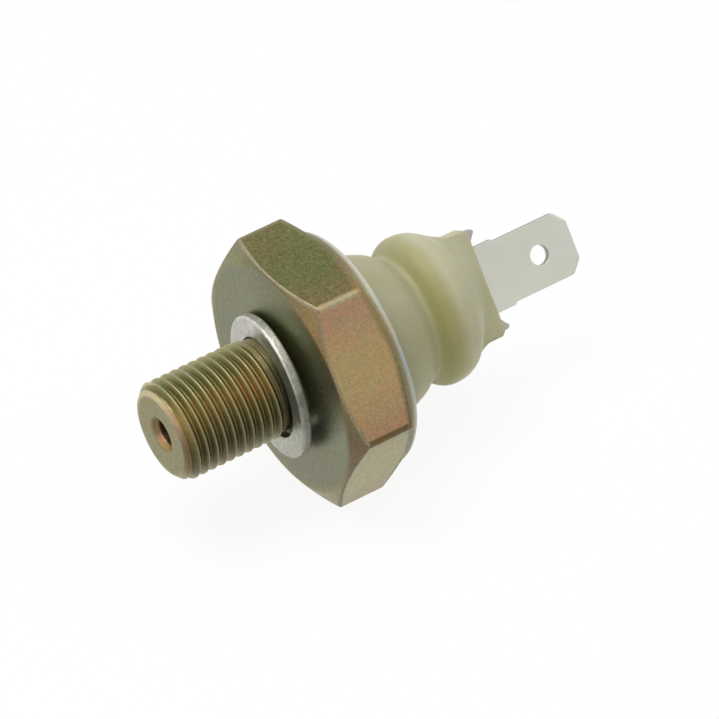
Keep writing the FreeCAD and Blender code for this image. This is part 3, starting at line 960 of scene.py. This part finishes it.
def passivated_steel():
    """Zinc plate with yellow iridescent passivation; the tone of each surface comes from the mesh and holds
    painted shade, highlights and reflections too.
    """
    f = Finish("passivated_steel")
    tone = f.tone()
    hue = f.ramp(f.noise(0.35, 3.0, 0.55, warp=0.8), [
        (0.3, tint(0.94, 1.03, 1.0)), (0.47, tint(1, 1, 1)),
        (0.6, tint(1.07, 0.97, 0.97)), (0.72, tint(1.05, 1.0, 0.78)),
    ])
    colour = f.times(tone.outputs["Color"], hue)
    grain = f.noise(4.2, 3.0, 0.75)
    speck = f.ramp(grain, [(0.32, grey(0.6)), (0.5, grey(1.0)), (0.68, grey(1.5))])
    colour = f.mix(tone.outputs["Alpha"], colour, f.times(colour, speck))
    rough = f.spread(f.noise(2.0, 4.0, 0.6), 0.32, 0.5)
    f.bump(grain, 0.22, 0.02)
    f.bump(f.noise(1.2, 2.0), 0.15, 0.05)
    return f.finish(colour, rough, 0.85)


def washer_aluminium():
    """Soft bright aluminium, scuffed all over and worn in places."""
    f = Finish("washer_aluminium")
    scuff = f.noise(2.6, 5.0, 0.7, (1, 1.6, 0.8))
    marks = f.ramp(scuff, [(0.32, grey(0.74)), (0.46, grey(1.0)), (0.56, grey(1.02)), (0.68, grey(1.22))])
    worn = f.ramp(f.noise(0.85, 4.0, 0.65, warp=0.6), [
        (0.36, grey(0.8)), (0.48, grey(0.98)), (0.56, grey(1.02)), (0.66, grey(1.3)),
    ])
    colour = f.times(f.times(f.tone().outputs["Color"], marks), worn)
    rough = f.spread(f.noise(6.0, 4.0, 0.6), 0.3, 0.48)
    f.bump(scuff, 0.3, 0.03)
    return f.finish(colour, rough, 0.72)


def cream_nylon():
    """Natural cream nylon, slightly translucent, with faint clouds."""
    f = Finish("insulator_plastic")
    cloud = f.ramp(f.noise(0.3, 3.0, 0.5), [(0.3, tint(0.95, 0.95, 0.9)), (0.7, tint(1.05, 1.05, 1.08))])
    colour = f.times(f.tone().outputs["Color"], cloud)
    rough = f.spread(f.noise(1.5, 3.0), 0.4, 0.52)
    f.bump(f.noise(0.9, 4.0, 0.6), 0.2, 0.04)
    f.bsdf.subsurface_method = "RANDOM_WALK"
    return f.finish(
        colour, rough, Subsurface_Weight=0.2, Subsurface_Scale=0.001, IOR=1.5, Specular_IOR_Level=0.4)


def tinned_brass():
    """Tin plated strip, satin, with faint clouds and fine rolling marks."""
    f = Finish("tinned_brass")
    cloud = f.ramp(f.noise(0.25, 2.0, 0.5), [(0.3, grey(0.97)), (0.7, grey(1.03))])
    colour = f.times(f.tone().outputs["Color"], cloud)
    rough = f.spread(f.noise(3.0, 4.0), 0.38, 0.48)
    f.bump(f.noise(9.0, 3.0, 0.6, (0.3, 1, 1)), 0.05, 0.01)
    return f.finish(colour, rough, 0.75)


def plain_finish(name, low, high, rough, metallic, scale, bump=0.15):
    """Finish of an inner piece: two tones of cloud, a little relief."""
    f = Finish(name)
    cloud = f.noise(scale, 4.0, 0.6)
    colour = f.ramp(cloud, [(0.35, low), (0.65, high)])
    f.bump(f.noise(scale * 3, 3.0), bump, 0.03)
    return f.finish(colour, f.spread(cloud, rough, rough + 0.12), metallic)


def dress(piece, material):
    """Gives a piece one material in place of what it has."""
    piece.data.materials.clear()
    piece.data.materials.append(material)


# Pieces on their bodies

housing = make_housing()
washer = make_washer()
insulator = make_insulator()
terminal = make_terminal()
for piece, node, slot_name, material in (
    (housing, "housing", "passivated_steel", passivated_steel()),
    (washer, "sealing_washer", "washer_aluminium", washer_aluminium()),
    (insulator, "insulator", "insulator_plastic", cream_nylon()),
    (terminal, "terminal", "tinned_brass", tinned_brass()),
):
    dress(piece, material)
    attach(piece, "switch_body")
    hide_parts(node)

INNER_FINISHES = {row[0]: plain_finish(*row) for row in (
    ("seal_rubber", srgb(28, 28, 28), srgb(44, 44, 44), 0.55, 0.0, 1.5),
    ("diaphragm_film", srgb(186, 128, 40), srgb(206, 150, 60), 0.2, 0.0, 0.5, 0.05),
    ("plated_steel", srgb(178, 178, 176), srgb(206, 206, 204), 0.32, 0.9, 1.2),
    ("plunger_plastic", srgb(70, 56, 42), srgb(92, 76, 58), 0.42, 0.0, 1.4),
    ("brass", srgb(188, 152, 84), srgb(212, 180, 112), 0.26, 0.95, 1.0),
    ("silver_contact", srgb(216, 216, 212), srgb(236, 236, 232), 0.2, 0.95, 3.0),
    ("spring_steel", srgb(138, 138, 136), srgb(176, 176, 174), 0.28, 0.95, 2.0),
)}
slots = {entry["node"]: entry["material_slot"] for entry in frame["record"]["subparts"]}
for node, slot_name in slots.items():
    if slot_name in INNER_FINISHES:
        dress(frame["nodes"][node], INNER_FINISHES[slot_name])


# Floor, world, lamps and camera

def seen_rays(tree, camera_share):
    """Share of white: camera rays at the given share, glossy and transmission rays in full."""
    path = tree.nodes.new("ShaderNodeLightPath")
    scaled = tree.nodes.new("ShaderNodeMath")
    scaled.operation = "MULTIPLY"
    scaled.inputs[1].default_value = camera_share
    tree.links.new(path.outputs["Is Camera Ray"], scaled.inputs[0])
    total = scaled.outputs[0]
    for name in ("Is Glossy Ray", "Is Transmission Ray"):
        larger = tree.nodes.new("ShaderNodeMath")
        larger.operation = "MAXIMUM"
        tree.links.new(total, larger.inputs[0])
        tree.links.new(path.outputs[name], larger.inputs[1])
        total = larger.outputs[0]
    return total


def cleared_tree(owner):
    """Emptied node tree of a material or a world."""
    owner.use_nodes = True
    owner.node_tree.nodes.clear()
    return owner.node_tree


def white_light(tree, kind, strength):
    node = tree.nodes.new(kind)
    node.inputs["Color"].default_value = tint(1, 1, 1)
    node.inputs["Strength"].default_value = strength
    return node


def mix_into(tree, output_kind, share, first, second):
    """Joins two shaders, mixed by a share, to the tree's output."""
    out = tree.nodes.new(output_kind)
    both = tree.nodes.new("ShaderNodeMixShader")
    tree.links.new(share, both.inputs[0])
    tree.links.new(first.outputs[0], both.inputs[1])
    tree.links.new(second.outputs[0], both.inputs[2])
    tree.links.new(both.outputs[0], out.inputs[0])


def make_floor():
    """White floor that takes shadows, mostly glowing white where the camera or a reflection sees it."""
    sides = ((-1, -1), (1, -1), (1, 1), (-1, 1))
    corners = [(x * FLOOR_HALF, y * FLOOR_HALF, FLOOR_Z) for x, y in sides]
    floor = new_object("studio_floor", corners, [(0, 1, 2, 3)], smooth=False)
    material = bpy.data.materials.new("studio_floor")
    tree = cleared_tree(material)
    paper = tree.nodes.new("ShaderNodeBsdfDiffuse")
    paper.inputs["Color"].default_value = grey(PAPER_TONE)
    glow = white_light(tree, "ShaderNodeEmission", GLOW)
    mix_into(tree, "ShaderNodeOutputMaterial", seen_rays(tree, GLOW_SHARE), paper, glow)
    dress(floor, material)


def make_world():
    """Soft white surroundings, brighter where the camera or a reflection sees them."""
    world = bpy.data.worlds.new("studio")
    tree = cleared_tree(world)
    soft = white_light(tree, "ShaderNodeBackground", AMBIENT)
    white = white_light(tree, "ShaderNodeBackground", 1.0)
    mix_into(tree, "ShaderNodeOutputWorld", seen_rays(tree, 1.0), soft, white)
    bpy.context.scene.world = world


def make_lamp(name, place, aim, size, power):
    """Soft square lamp; place, aim and size in millimetres."""
    light = bpy.data.lights.new(name, "AREA")
    light.shape = "SQUARE"
    light.size = size * MM
    light.energy = power
    lamp = bpy.data.objects.new(name, light)
    bpy.context.scene.collection.objects.link(lamp)
    start, end = Vector(place) * MM, Vector(aim) * MM
    lamp.location = start
    lamp.rotation_euler = (end - start).to_track_quat("-Z", "Y").to_euler()


def make_camera():
    """Camera of the main picture, far off and with a long lens."""
    data = bpy.data.cameras.new("camera")
    data.lens = CAMERA_LENS
    data.sensor_width = SENSOR
    data.sensor_fit = "HORIZONTAL"
    data.clip_start, data.clip_end = CAMERA_CLIP
    camera = bpy.data.objects.new("camera", data)
    bpy.context.scene.collection.objects.link(camera)
    turn = Vector(CAMERA_TURN)
    to_part = Matrix.Rotation(turn.length, 3, turn.normalized()).transposed()
    place = to_part @ Vector(CAMERA_OFFSET) + Vector((CAMERA_SHIFT_X, 0, 0))
    camera.matrix_world = Matrix.Translation(place * MM) @ to_part.to_4x4()
    bpy.context.scene.camera = camera


make_floor()
make_world()
for lamp in LAMPS:
    make_lamp(*lamp)
make_camera()
bpy.context.scene.view_settings.view_transform = "Standard"
